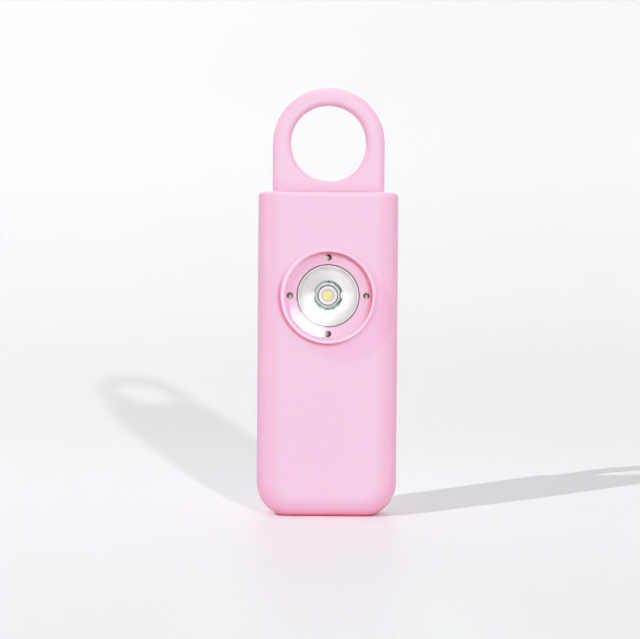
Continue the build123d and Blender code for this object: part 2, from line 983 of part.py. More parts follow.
cone_reach = (door_screw_head - door_screw_shank) / 2
door_screw_head_height = cone_reach / math.tan(math.radians(countersink_angle / 2))
with BuildPart() as door_screws:
    with Locations(*[facing_back(place, back_face) for place in door_screw_places]):
        add(
            screw(
                door_screw_head,
                door_screw_head_height,
                door_screw_shank,
                door_screw_length,
                countersunk=True,
            )
        )
door_screws.part.label = "door_screws"

with BuildPart() as door_inserts:
    insert_back = door_seat - insert_sink
    pegs(door_screw_places, insert_diameter, insert_back - insert_length, insert_back)
    pegs(
        door_screw_places,
        door_screw_shank + 2 * insert_gap,
        insert_back - insert_length - overrun,
        insert_back + overrun,
        Mode.SUBTRACT,
    )
door_inserts.part.label = "door_inserts"

# Battery door: flush with the back, with a rib that keeps the cells in
door_rib_diameter = cell_diameter - 2 * door_rib_inset
with BuildPart() as battery_door:
    with BuildSketch(upright(back_face)):
        with Locations((0, cell_height)):
            RectangleRounded(door_width, door_height, door_round)
    extrude(amount=door_thickness)
    chamfer(battery_door.faces().sort_by(Axis.Y)[-1].edges(), door_edge_chamfer)
    pegs([(0, cell_height)], door_rib_diameter, door_seat - door_rib, door_seat)
    pegs(
        [(0, cell_height)],
        door_rib_diameter - 2 * door_rib_width,
        door_seat - door_rib,
        door_seat,
        Mode.SUBTRACT,
    )
    with Locations(*[facing_back(place, back_face) for place in door_screw_places]):
        CounterSinkHole(
            radius=door_screw_shank / 2 + insert_gap,
            counter_sink_radius=door_screw_head / 2 + insert_gap,
            depth=door_thickness + overrun,
            counter_sink_angle=countersink_angle,
        )
battery_door.part.label = "battery_door"

# Pull ring: an arch with a round hole, and the boss under it
with BuildPart() as pull_ring:
    with BuildSketch(Plane.XZ):
        with BuildLine():
            Polyline(
                (-ring_width / 2, ring_centre_height),
                (-ring_width / 2, ring_base),
                (ring_width / 2, ring_base),
                (ring_width / 2, ring_centre_height),
            )
            ThreePointArc(
                (ring_width / 2, ring_centre_height),
                (0, ring_centre_height + ring_width / 2),
                (-ring_width / 2, ring_centre_height),
            )
        make_face()
    extrude(amount=ring_depth / 2, both=True)
    side_edges = pull_ring.faces().filter_by(Axis.Y).edges()
    fillet(side_edges.sort_by(Axis.Z)[2:], ring_outer_round)
    pegs([(0, ring_centre_height)], ring_hole, -ring_depth, ring_depth, Mode.SUBTRACT)
    fillet(pull_ring.edges(Select.LAST).filter_by(GeomType.CIRCLE), ring_hole_round)
    with BuildSketch(Plane.XY.offset(ring_base)):
        SlotOverall(boss_length, boss_width)
    extrude(amount=boss_bottom - ring_base)
    with BuildSketch(Plane.XY.offset(boss_bottom)):
        Circle(pin_diameter / 2 + pin_press_gap)
    extrude(amount=pin_root, mode=Mode.SUBTRACT)
pull_ring.part.label = "pull_ring"

# Jack pin: its root in the boss, a groove and a cone at its end
pin_groove_bottom = pin_end + pin_cone + pin_tip
pin_top = boss_bottom + pin_root
with BuildPart() as jack_pin:
    with BuildSketch(Plane.XZ):
        with BuildLine():
            Polyline(
                (0, pin_end),
                (pin_cone_end / 2, pin_end),
                (pin_radius, pin_end + pin_cone),
                (pin_radius, pin_groove_bottom),
                (pin_radius - pin_groove_depth, pin_groove_bottom),
                (pin_radius - pin_groove_depth, pin_groove_bottom + pin_groove_width),
                (pin_radius, pin_groove_bottom + pin_groove_width),
                (pin_radius, pin_top),
                (0, pin_top),
                close=True,
            )
        make_face()
    revolve(axis=Axis.Z)
jack_pin.part.label = "jack_pin"

os.makedirs("parts", exist_ok=True)
pieces = [
    front_shell,
    rear_shell,
    lens_cover,
    reflector,
    led_package,
    led_leads,
    led_phosphor,
    led_dome,
    main_board,
    siren_gasket,
    siren_housing,
    siren_diaphragm,
    siren_ceramic,
    siren_lead_left,
    siren_lead_right,
    boost_coil_core,
    boost_coil_winding,
    control_chip,
    transistor,
    capacitor,
    chip_resistors,
    coin_cell_1,
    coin_cell_2,
    negative_contact,
    positive_contact,
    jack_socket,
    switch_leaf,
    fixed_contact,
    case_screws,
    board_screws,
    battery_door,
    door_screws,
    door_inserts,
    pull_ring,
    jack_pin,
]
for piece in pieces:
    export_step(piece.part, f"parts/{piece.part.label}.step")
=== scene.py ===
import json
import math

import bpy
from mathutils import Matrix, Vector


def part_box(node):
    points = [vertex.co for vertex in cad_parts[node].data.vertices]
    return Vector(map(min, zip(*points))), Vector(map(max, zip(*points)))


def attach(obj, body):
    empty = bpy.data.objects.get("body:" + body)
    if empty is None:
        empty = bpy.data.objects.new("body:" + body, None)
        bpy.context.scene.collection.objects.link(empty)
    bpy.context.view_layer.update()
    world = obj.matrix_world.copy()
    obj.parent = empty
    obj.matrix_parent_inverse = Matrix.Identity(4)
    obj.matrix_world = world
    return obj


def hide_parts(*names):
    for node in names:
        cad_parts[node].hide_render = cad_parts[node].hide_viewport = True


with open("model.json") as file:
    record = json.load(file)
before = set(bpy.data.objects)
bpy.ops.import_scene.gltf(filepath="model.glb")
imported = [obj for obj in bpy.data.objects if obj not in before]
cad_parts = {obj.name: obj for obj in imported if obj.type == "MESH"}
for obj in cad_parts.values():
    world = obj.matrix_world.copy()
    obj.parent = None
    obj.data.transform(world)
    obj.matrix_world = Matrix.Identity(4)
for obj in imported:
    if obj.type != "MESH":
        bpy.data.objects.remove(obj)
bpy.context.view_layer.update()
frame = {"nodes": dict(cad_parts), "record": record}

MM = 0.001
# A cylinder turned like this lies along the lamp's axis
FRONT_TO_BACK = (math.radians(90), 0, 0)

# The sound holes' distance from the lamp's axis, and their radius
SOUND_RADIUS = 9.05 * MM
HOLE_RADIUS = 0.8 * MM

# Bands of painted light and shade on the casing, in millimetres: where each begins, is full, fades
# and is gone.
# The first four go by the distance from the lamp's axis, the last by the height.
RIM_LIGHT_BAND = (10.45, 10.75, 11.0, 11.3)
OUTER_CORNER_SHADE_BAND = (11.2, 11.4, 11.7, 12.3)
INNER_CORNER_SHADE_BAND = (9.2, 10.0, 10.4, 10.6)
RECESS_LIGHT_BAND = (7.0, 7.2, 10.2, 10.45)
SEAM_SHADE_BAND = (77.2, 77.3, 77.4, 80.0)
# The rim's soft shade: where its round edge fades, and how far it falls to the right and down
SHADE_EDGE = (11.0 * MM, 12.0 * MM)
SHADE_SHIFT = 4.1 * MM

# Painted shade in the white lamp's cup round the chip, and in the groove in its base, which is
# painted dark
CUP_SHADE_BAND = (0.72, 0.8, 1.0, 1.2)
GROOVE_SHADE_BAND = (1.65, 1.71, 2.52, 2.6)

# The lamp sits round this axis, which runs from the front to the back
cover_low, cover_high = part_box("lens_cover")
lamp_x = (cover_low.x + cover_high.x) / 2
lamp_z = (cover_low.z + cover_high.z) / 2


# ---- Shader maths ----


class Wire:
    """A shader socket that takes part in sums; each operator adds its Math node."""

    def __init__(self, tree, socket=None):
        self.tree = tree
        self.socket = socket

    def node(self, kind, settings=None, values=None, out=0):
        """Adds a node: its type, its settings first, then the values or links of its sockets."""
        made = self.tree.nodes.new(kind)
        for name, value in (settings or {}).items():
            if name == "stops":
                ramp = made.color_ramp.elements
                while len(ramp) < len(value):
                    ramp.new(1)
                for stop, (place, colour) in zip(ramp, value):
                    stop.position = place
                    stop.color = colour
            else:
                setattr(made, name, value)
        for name, value in (values or {}).items():
            if isinstance(value, Wire):
                self.tree.links.new(value.socket, made.inputs[name])
            else:
                made.inputs[name].default_value = value
        return Wire(self.tree, made.outputs[out])

    def maths(self, operation, *others):
        values = dict(enumerate((self, *others)))
        return self.node("ShaderNodeMath", {"operation": operation}, values)

    def __add__(self, other):
        return self.maths("ADD", other)

    def __sub__(self, other):
        return self.maths("SUBTRACT", other)

    def __rsub__(self, other):
        return self.node("ShaderNodeMath", {"operation": "SUBTRACT"}, {0: other, 1: self})

    def __mul__(self, other):
        return self.maths("MULTIPLY", other)

    def __truediv__(self, other):
        return self.maths("DIVIDE", other)

    def __pow__(self, other):
        return self.maths("POWER", other)

    def __abs__(self):
        return self.maths("ABSOLUTE")

    __radd__ = __add__


def place(wire):
    """Object coordinates, in metres."""
    return wire.node("ShaderNodeTexCoord", out="Object")


def part_of(vector):
    """The x, y and z of a vector."""
    split = vector.tree.nodes.new("ShaderNodeSeparateXYZ")
    vector.tree.links.new(vector.socket, split.inputs[0])
    return [Wire(vector.tree, output) for output in split.outputs]


def noise(vector, scale, detail, roughness=0.5, stretch=None):
    """Noise from 0 to 1, its scale in lumps to the metre."""
    if stretch:
        settings = {"operation": "MULTIPLY"}
        vector = vector.node("ShaderNodeVectorMath", settings, {0: vector, 1: stretch})
    values = {"Vector": vector, "Scale": scale, "Detail": detail, "Roughness": roughness}
    return vector.node("ShaderNodeTexNoise", None, values)


def ramp(value, *stops):
    """A colour ramp over stops of (place, colour)."""
    return value.node("ShaderNodeValToRGB", {"stops": stops}, {0: value})


def between(value, low, high):
    """0 below low, 1 above high, and smooth between them."""
    values = {"Value": value, "From Min": low, "From Max": high}
    return value.node("ShaderNodeMapRange", {"interpolation_type": "SMOOTHSTEP"}, values)


def band(value, stops, unit=1):
    """0 outside the four stops, 1 between the inner two, and smooth between them."""
    rise, full, fade, gone = (stop * unit for stop in stops)
    return between(value, rise, full) * (1 - between(value, fade, gone))


def mixed(share, first, second, way="MIX"):
    """Two colours, mixed by a share from 0 to 1."""
    settings = {"data_type": "RGBA", "blend_type": way}
    return share.node("ShaderNodeMix", settings, {0: share, 6: first, 7: second}, out=2)


def bumped(height, deep, strength):
    """A normal from a height of 0 to 1 that stands for this many metres."""
    values = {"Height": height, "Distance": deep, "Strength": strength}
    return height.node("ShaderNodeBump", None, values)


def rgb(red, green, blue):
    return (red, green, blue, 1.0)


def tinted(colour, red, green, blue):
    """A colour with its red, green and blue each times its own factor."""
    return rgb(colour[0] * red, colour[1] * green, colour[2] * blue)


def new_finish(name, fixed=None):
    """A new material with its fixed values set, and a Wire to draw its nodes with."""
    material = bpy.data.materials.new(name)
    material.use_nodes = True
    shader = material.node_tree.nodes["Principled BSDF"]
    for socket, value in (fixed or {}).items():
        shader.inputs[socket].default_value = value
    return material, Wire(material.node_tree)


def show(material, **wires):
    """Links the drawn values to the shader's sockets."""
    tree = material.node_tree
    shader = tree.nodes["Principled BSDF"]
    for name, wire in wires.items():
        tree.links.new(wire.socket, shader.inputs[name.replace("_", " ").title()])
    return material


def shown_colour(material):
    """The wire that feeds the shader's base colour already."""
    shader = material.node_tree.nodes["Principled BSDF"]
    return Wire(material.node_tree, shader.inputs["Base Color"].links[0].from_socket)


def light_path(wire, *names):
    """What the light path says of a ray, under each of these names."""
    return [wire.node("ShaderNodeLightPath", out=name) for name in names]


def lamp_radius(vector):
    """How far a point is from the lamp's axis."""
    x, _, z = part_of(vector)
    return ((x - lamp_x) ** 2 + (z - lamp_z) ** 2) ** 0.5


# ---- Finishes ----


def moulded_pink(name, colour):
    """Satin moulded plastic, with painted light and shade by the way each point faces and by its
    place.
    """
    fixed = {
        "Subsurface Weight": 0.3,
        "Subsurface Radius": (1.0, 0.3, 0.4),
        "Subsurface Scale": 0.3 * MM,
        "IOR": 1.5,
    }
    material, wire = new_finish(name, fixed)
    at = place(wire)
    clouds = noise(at, 55, 3)
    specks = noise(at, 900, 2)
    grain = noise(at, 7000, 3, 0.6)

    # The way it faces: rounded edges; sides and undersides, for painted shade; and tops, for
    # painted light
    across, along, up = part_of(wire.node("ShaderNodeNewGeometry", out="Normal"))
    flat = abs(across).maths("MAXIMUM", abs(along)).maths("MAXIMUM", abs(up))
    edge = between(1 - flat, 0.08, 0.29)
    under = (0 - up).maths("MAXIMUM", 0)
    # Painted shade: sides and undersides a deeper pink
    side_shade = abs(across) ** 0.8 * (across * 0.07 + 0.79) + under * 0.9
    # Painted light: faces that look up are paler
    top_light = between(up, 0.2, 0.9)

    # Its place, for painted shade close to the ground and at the ring's seam, and for painted light
    # and shade round the lamp on the front
    x, y, height = part_of(at)
    # Painted shade close to the ground, and a painted contact shadow at the very foot
    low = 1 - between(height, 0.0, 2.2 * MM)
    contact_shadow = 1 - between(height, 0.2 * MM, 0.75 * MM)
    # Painted shade where the pull ring meets the casing
    seam_shade = band(height, SEAM_SHADE_BAND, MM)
    front = 1 - between(y, -6.6 * MM, -6.0 * MM)
    out = lamp_radius(at)
    slant = (x - lamp_x + height - lamp_z) / out
    # Painted light: the rim's face paler, in lit and shaded copies by its slant
    rim = band(out, RIM_LIGHT_BAND, MM) * front
    # Painted light on the recess floor under the cover
    recess = band(out, RECESS_LIGHT_BAND, MM) * front
    # Painted shade in the corners round the rim: outside it to the lower left, inside it to the
    # upper right
    outer_shade = band(out, OUTER_CORNER_SHADE_BAND, MM) * (1 - between(slant, -1.1, -0.2))
    inner_shade = band(out, INNER_CORNER_SHADE_BAND, MM) * between(slant, -0.1, 1.0)
    corner_shade = (outer_shade * 0.9 + inner_shade) * front
    thrown = ((x - lamp_x - SHADE_SHIFT) ** 2 + (height - lamp_z + SHADE_SHIFT) ** 2) ** 0.5
    shade = (1 - between(thrown, *SHADE_EDGE)) * between(out, 11.4 * MM, 11.5 * MM)

    deep, pale = tinted(colour, 0.985, 0.965, 0.975), tinted(colour, 1.012, 1.03, 1.02)
    tone = mixed(clouds * 0.7 + specks * 0.3, deep, pale)
    tone = mixed(edge * 0.22, tone, tinted(colour, 1.02, 1.08, 1.05))
    # Painted shade on the sides and undersides
    tone = mixed(side_shade * 0.65, tone, tinted(colour, 1.11, 0.66, 0.78))
    tone = mixed(shade * front, tone, rgb(0.995, 0.905, 0.96), "MULTIPLY")
    # Painted light on the tops; painted shade at the seam and close to the ground; a painted
    # contact shadow at the foot
    for share, tint in (
        (top_light * 0.6, (1.04, 1.12, 1.06)),
        (seam_shade * 0.4, (0.97, 0.74, 0.84)),
        (low * 0.7, (1.12, 0.44, 0.54)),
        (contact_shadow * 0.95, (0.72, 0.11, 0.17)),
    ):
        tone = mixed(share, tone, tinted(colour, *tint))
    # The recess floor painted lighter, with painted shade towards its left
    shaded_left_recess, lit_right_recess = tinted(colour, 1.08, 0.90, 0.96), tinted(colour, 1.06, 1.00, 1.01)
    floor = mixed(between(x - lamp_x, -2 * MM, 6 * MM), shaded_left_recess, lit_right_recess)
    tone = mixed(recess, tone, floor)
    # The rim's face painted paler, with lit and shaded copies of the pink by the slant round the
    # rim
    lit_rim, shaded_rim = tinted(colour, 1.07, 1.36, 1.22), tinted(colour, 1.06, 1.06, 0.92)
    tone = mixed(rim * 0.6, tone, mixed(between(slant, -0.5, 0.7), lit_rim, shaded_rim))
    # Painted shade in the corners round the rim
    tone = mixed(corner_shade * 0.95, tone, tinted(colour, 0.95, 0.36, 0.50))
    rough = 0.42 + (specks - 0.5) * 0.05 + (clouds - 0.5) * 0.06 - edge * 0.05
    return show(material, base_color=tone, roughness=rough, normal=bumped(grain, 0.012 * MM, 0.35))


def lets_lamps_through(material, wire):
    """Light passes a clear piece straight on its way to and from what lies behind it."""
    tree = material.node_tree
    shadow, matt, gloss, glass = light_path(
        wire, "Is Shadow Ray", "Is Diffuse Ray", "Is Glossy Ray", "Is Transmission Ray"
    )
    ray = shadow.maths("MAXIMUM", matt).maths("MAXIMUM", gloss - glass)
    open_way = wire.node("ShaderNodeBsdfTransparent", None, {"Color": rgb(0.98, 0.98, 0.98)})
    solid = Wire(tree, tree.nodes["Principled BSDF"].outputs[0])
    way = wire.node("ShaderNodeMixShader", None, {0: ray, 1: solid, 2: open_way})
    tree.links.new(way.socket, tree.nodes["Material Output"].inputs["Surface"])
    return material


def clear_acrylic(name):
    """Polished clear sheet; the walls of its drilled sound holes stay frosted."""
    fixed = {"Base Color": rgb(0.995, 0.995, 1.0), "Transmission Weight": 1.0, "IOR": 1.49}
    material, wire = new_finish(name, fixed)
    at = place(wire)
    x, _, z = part_of(at)
    across, along = abs(x - lamp_x), abs(z - lamp_z)
    beside = ((across - SOUND_RADIUS) ** 2 + along ** 2) ** 0.5
    above = (across ** 2 + (along - SOUND_RADIUS) ** 2) ** 0.5
    nearest = beside.maths("MINIMUM", above)
    # A little wider than the holes, so that their broken edges are frosted too
    drilled = 1 - between(nearest, 0.86 * MM, 0.92 * MM)
    haze = noise(at, 260, 3)
    hairs = noise(at, 1500, 2, stretch=(1, 1, 0.06))
    rough = 0.055 + between(hairs, 0.62, 0.8) * 0.02 + between(haze, 0.5, 0.9) * 0.012
    show(material, roughness=rough + drilled * 0.4, normal=bumped(haze, 0.004 * MM, 0.2))
    return lets_lamps_through(material, wire)


def clear_silicone(name):
    """The lamp's moulded dome, with a faint haze."""
    fixed = {"Base Color": rgb(1.0, 1.0, 1.0), "Transmission Weight": 1.0, "IOR": 1.41}
    material, wire = new_finish(name, fixed)
    haze = noise(place(wire), 1200, 3)
    show(material, roughness=haze * 0.04, normal=bumped(haze, 0.002 * MM, 0.2))
    return lets_lamps_through(material, wire)


def plated_bowl(name):
    """Bright plating with painted reflections in soft streaks and a paler band down the bowl, and a
    painted shadow line at its edge; the flange and the back stay bare grey.
    """
    material, wire = new_finish(name)
    at = place(wire)
    x, _, z = part_of(at)
    radius = lamp_radius(at)
    turn = (x - lamp_x).maths("ARCTAN2", z - lamp_z)
    streaks = noise(wire.node("ShaderNodeCombineXYZ", None, {0: turn, 1: radius * 60}), 2.2, 4)
    ripple = noise(at, 420, 2)
    # Painted reflections: a brighter streak that goes twice round the bowl, broken by soft streaks
    painted_reflection = (turn * 2 - math.radians(50)).maths("COSINE") * 0.32 + 0.5 + (streaks - 0.5) * 0.7
    silver = ramp(painted_reflection, (0.1, rgb(0.75, 0.73, 0.74)), (0.85, rgb(0.91, 0.905, 0.91)))
    # A paler band painted as the reflection of the white surroundings on the steep wall
    silver = mixed(between(radius, 5.2 * MM, 6.6 * MM) * 0.5, silver, rgb(0.97, 0.96, 0.965))
    # A painted shadow line at the bowl's edge, in the gap by the pink shell
    silver = mixed(between(radius, 6.85 * MM, 7.05 * MM) * 0.85, silver, rgb(0.62, 0.50, 0.56))
    bare = between(radius, 7.15 * MM, 7.25 * MM)
    speck = noise(at, 3000, 2)
    moulded = mixed(speck, rgb(0.035, 0.032, 0.034), rgb(0.06, 0.055, 0.058))
    rough = (0.40 + streaks * 0.14) * (1 - bare) + bare * 0.6
    return show(
        material,
        base_color=mixed(bare, silver, moulded),
        metallic=1 - bare,
        roughness=rough,
        normal=bumped(streaks * 0.4 + ripple * 0.6, 0.03 * MM, 0.25),
    )


def mottled(name, dark, light, rough, scale, deep, fixed=None):
    """A plain finish that varies between two tones, with a fine bump of that scale."""
    material, wire = new_finish(name, fixed)
    at = place(wire)
    tones = noise(at, scale / 6, 3)
    grain = noise(at, scale, 3, 0.6)
    tone = mixed(tones, rgb(*dark), rgb(*light))
    return show(
        material,
        base_color=tone,
        roughness=rough + (grain - 0.5) * 0.18 + (tones - 0.5) * 0.08,
        normal=bumped(grain, deep, 0.5),
    )


def lamp_white(name):
    """White moulding, with painted shade in the groove in its base, in the cup round the chip and
    in the middle.
    """
    material, wire = new_finish(name)
    at = place(wire)
    radius = lamp_radius(at)
    specks = noise(at, 5000, 2)
    middle = 1 - between(radius, 1.4 * MM, 1.6 * MM)
    cup = band(radius, CUP_SHADE_BAND, MM)
    groove = band(radius, GROOVE_SHADE_BAND, MM)
    white = mixed(specks, rgb(0.88, 0.88, 0.87), rgb(0.93, 0.93, 0.92))
    # Painted shade: pinkish grey in the middle, greyer in the cup round the chip, and near black in
    # the groove
    tone = mixed(middle * 0.8, white, rgb(0.90, 0.80, 0.84))
    tone = mixed(cup * 0.75, tone, rgb(0.50, 0.40, 0.43))
    return show(
        material,
        base_color=mixed(groove, tone, rgb(0.06, 0.045, 0.055)),
        roughness=0.42 + specks * 0.12,
        normal=bumped(specks, 0.006 * MM, 0.4),
    )


def green_board(name):
    """Green solder mask over copper tracks; round the lamp it is painted lighter in blotches, with
    painted light to the left and painted shade to the right.
    """
    material, wire = new_finish(name, {"Coat Weight": 0.3, "Coat Roughness": 0.2})
    at = place(wire)
    x = part_of(at)[0]
    lanes = noise(at, 320, 1, stretch=(1, 0, 0.12))
    cross = noise(at, 320, 1, stretch=(0.12, 0, 1))
    tracks = band(lanes, (0.52, 0.54, 0.6, 0.62))
    tracks = tracks.maths("MAXIMUM", band(cross, (0.54, 0.56, 0.6, 0.62)))
    weave = noise(at, 5000, 2)
    mask = mixed(tracks, rgb(0.015, 0.16, 0.075), rgb(0.05, 0.30, 0.13))
    mask = mixed(weave * 0.15, mask, rgb(0.02, 0.10, 0.05))
    lit = 1 - between(lamp_radius(at), 3.9 * MM, 4.2 * MM)
    # Painted light and shade on the board round the lamp: lighter to the left, darker to the right
    light_patches = noise(at, 700, 2) + (lamp_x - x) * 60
    board_light_and_shade = ramp(light_patches, (0.42, rgb(0.13, 0.23, 0.21)), (0.55, rgb(0.52, 0.80, 0.64)))
    return show(
        material,
        base_color=mixed(lit, mask, board_light_and_shade),
        roughness=0.34 + weave * 0.12,
        normal=bumped(tracks + weave * 0.1, 0.03 * MM, 0.6),
    )


def wound_copper(name):
    """Enamelled wire, with fine turns along the winding's width."""
    material, wire = new_finish(name, {"Metallic": 1.0, "Coat Weight": 0.5, "Coat Roughness": 0.12})
    at = place(wire)
    y, wire_width = part_of(at)[1], 0.12 * MM
    turns = (y * (2 * math.pi / wire_width)).maths("SINE")
    tones = noise(at, 1500, 3)
    copper = mixed(tones, rgb(0.55, 0.20, 0.08), rgb(0.80, 0.36, 0.16))
    return show(
        material,
        base_color=copper,
        roughness=0.24 + tones * 0.12,
        normal=bumped(turns * 0.5 + 0.5, 0.03 * MM, 0.8),
    )


def drawn_metal(name, dark, light, rough, scale, stretch):
    """Plated or drawn metal with fine lines along it."""
    material, wire = new_finish(name, {"Metallic": 1.0})
    at = place(wire)
    lines = noise(at, scale, 3, 0.6, stretch)
    tarnish = noise(at, 180, 4, 0.6)
    tone = mixed(tarnish, rgb(*dark), rgb(*light))
    return show(
        material,
        base_color=tone,
        roughness=rough + lines * 0.14 + (tarnish - 0.5) * 0.10,
        normal=bumped(lines, 0.006 * MM, 0.5),
    )


def woven_gauze(name):
    """Gauze behind the sound holes, in the holes' own shade on one side of each."""
    material = drawn_metal(name, (0.58, 0.58, 0.55), (0.74, 0.74, 0.71), 0.42, 5000, (1, 1, 1))
    x, _, z = part_of(place(Wire(material.node_tree)))
    across, along = x - lamp_x, z - lamp_z
    beside = between(abs(across), 5 * MM, 6 * MM)
    sideways = across - across.maths("SIGN") * SOUND_RADIUS - along * 0.3
    lit = beside * sideways - (1 - beside) * (across + (abs(along) - SOUND_RADIUS) * 0.4)
    lit = between(lit, -0.5 * MM, 0.45 * MM)
    tone = mixed(lit, rgb(0.16, 0.13, 0.12), shown_colour(material))
    return show(material, base_color=tone)


def cross_recessed(name):
    """Plated screws, with painted shade in the cross recesses of the heads that show at the back.
    """
    material = drawn_metal(name, (0.52, 0.52, 0.53), (0.70, 0.70, 0.71), 0.24, 3500, (1, 0.2, 1))
    y, recess_deep = part_of(place(Wire(material.node_tree)))[1], 0.5 * MM
    floors = [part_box(node)[1].y - recess_deep for node in ("case_screws", "door_screws")]
    first, second = [1 - between(abs(y - floor), 0.08 * MM, 0.2 * MM) for floor in floors]
    # Painted shade: the recess floors near black
    recess = first.maths("MAXIMUM", second)
    tone = mixed(recess, shown_colour(material), rgb(0.045, 0.042, 0.04))
    return show(material, base_color=tone)


# Each slot's kind of finish, and its values after the name
kinds = {
    "pink_case": (moulded_pink, (0.865, 0.58, 0.745)),
    "pink_ring": (moulded_pink, (0.865, 0.60, 0.75)),
    "clear_cover": (clear_acrylic,),
    "bright_bowl": (plated_bowl,),
    "led_body": (lamp_white,),
    "led_yellow": (mottled, (0.92, 0.85, 0.15), (0.97, 0.92, 0.26), 0.5, 6000, 0.01 * MM),
    "clear_dome": (clear_silicone,),
    "lead_tin": (drawn_metal, (0.74, 0.74, 0.73), (0.86, 0.86, 0.85), 0.25, 3000, (0.1, 1, 1)),
    "board_green": (green_board,),
    "siren_black": (mottled, (0.012,) * 3, (0.028,) * 3, 0.48, 4000, 0.015 * MM),
    "sheet_brass": (drawn_metal, (0.66, 0.46, 0.20), (0.83, 0.62, 0.30), 0.22, 3000, (1, 1, 0.04)),
    "piezo_ceramic": (
        mottled, (0.60, 0.59, 0.56), (0.76, 0.75, 0.72), 0.42, 3000, 0.01 * MM, {"Metallic": 0.6},
    ),
    "gauze": (woven_gauze,),
    "gasket_foam": (mottled, (0.02,) * 3, (0.06,) * 3, 0.85, 2500, 0.08 * MM),
    "lead_red": (mottled, (0.42, 0.010, 0.012), (0.60, 0.02, 0.02), 0.38, 3000, 0.01 * MM),
    "lead_black": (mottled, (0.012,) * 3, (0.03,) * 3, 0.38, 3000, 0.01 * MM),
    "ferrite": (mottled, (0.035,) * 3, (0.075, 0.073, 0.07), 0.55, 3500, 0.03 * MM),
    "copper_wire": (wound_copper,),
    "chip_black": (mottled, (0.012,) * 3, (0.03,) * 3, 0.5, 6000, 0.015 * MM),
    "can_silver": (drawn_metal, (0.70, 0.70, 0.71), (0.84, 0.84, 0.86), 0.22, 3000, (1, 0.03, 1)),
    "cell_steel": (drawn_metal, (0.62, 0.62, 0.61), (0.78, 0.78, 0.77), 0.18, 2600, (0.05, 1, 1)),
    "spring_nickel": (
        drawn_metal, (0.60, 0.57, 0.50), (0.76, 0.73, 0.66), 0.2, 3000, (1, 1, 0.05),
    ),
    "socket_black": (mottled, (0.012,) * 3, (0.028,) * 3, 0.42, 3500, 0.012 * MM),
    "screw_steel": (cross_recessed,),
    "pin_nickel": (drawn_metal, (0.66, 0.65, 0.61), (0.80, 0.79, 0.75), 0.12, 3000, (0.1, 0.1, 1)),
}
finishes = {name: kind(name, *values) for name, (kind, *values) in kinds.items()}

for entry in frame["record"]["subparts"]:
    carried = frame["nodes"][entry["node"]]
    for holder in carried.material_slots:
        holder.material = finishes[entry["material_slot"]]


# ---- Modelling ----


def only(piece):
    """Selects one object and nothing else."""
    bpy.ops.object.select_all(action="DESELECT")
    piece.select_set(True)
    bpy.context.view_layer.objects.active = piece


def primitive(kind, name, **values):
    """Adds one primitive with nothing else selected, and keeps its place in its mesh."""
    bpy.ops.object.select_all(action="DESELECT")
    getattr(bpy.ops.mesh, f"primitive_{kind}_add")(**values)
    made = bpy.context.object
    made.name = name
    bpy.ops.object.transform_apply(location=True, rotation=True, scale=True)
    return made


def sized(piece, scale, location):
    """Gives a primitive of size 1 its size and its place, and keeps them in its mesh."""
    only(piece)
    piece.scale = scale
    piece.location = location
    bpy.ops.object.transform_apply(location=True, rotation=True, scale=True)
    return piece


def choose(piece, kind, test):
    """Enters edit mode with the faces (middle, normal) or edges (middle, run) that pass a test."""
    only(piece)
    bpy.ops.object.mode_set(mode="EDIT")
    bpy.ops.mesh.select_mode(type=kind)
    bpy.ops.mesh.select_all(action="DESELECT")
    bpy.ops.object.mode_set(mode="OBJECT")
    mesh = piece.data
    if kind == "FACE":
        for face in mesh.polygons:
            face.select = bool(test(face.center, face.normal))
    else:
        for edge in mesh.edges:
            ends = [mesh.vertices[v].co for v in edge.vertices]
            edge.select = bool(test(sum(ends, Vector()) / 2, ends[1] - ends[0]))
    bpy.ops.object.mode_set(mode="EDIT")


def leave_edit():
    bpy.ops.object.mode_set(mode="OBJECT")


def apply_modifier(piece, kind, **values):
    """Adds one modifier with these settings and applies it."""
    only(piece)
    made = piece.modifiers.new(kind.lower(), kind)
    for name, value in values.items():
        setattr(made, name, value)
    bpy.ops.object.modifier_apply(modifier=made.name)


def smooth(piece):
    """Smooth shading that leaves the large flat faces flat."""
    only(piece)
    bpy.ops.object.shade_smooth_by_angle(angle=math.radians(35))
    apply_modifier(piece, "WEIGHTED_NORMAL", mode="FACE_AREA", weight=100, keep_sharp=True)


def turned(piece, steps):
    """Spins a drawn section once round the lamp's axis and closes it."""
    only(piece)
    bpy.ops.object.mode_set(mode="EDIT")
    bpy.ops.mesh.select_all(action="SELECT")
    bpy.ops.mesh.spin(
        steps=steps, angle=2 * math.pi, center=(lamp_x, 0, lamp_z), axis=(0, 1, 0)
    )
    bpy.ops.mesh.select_all(action="SELECT")
    bpy.ops.mesh.remove_doubles(threshold=0.001 * MM)
    bpy.ops.mesh.normals_make_consistent(inside=False)
    leave_edit()


def finished(piece, look, body="casing", replaced=()):
    """Gives a new piece its finish, the record's slot and the body it rides on."""
    piece.data.materials.clear()
    piece.data.materials.append(finishes[look])
    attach(piece, body)
    if replaced:
        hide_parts(*replaced)
    return piece


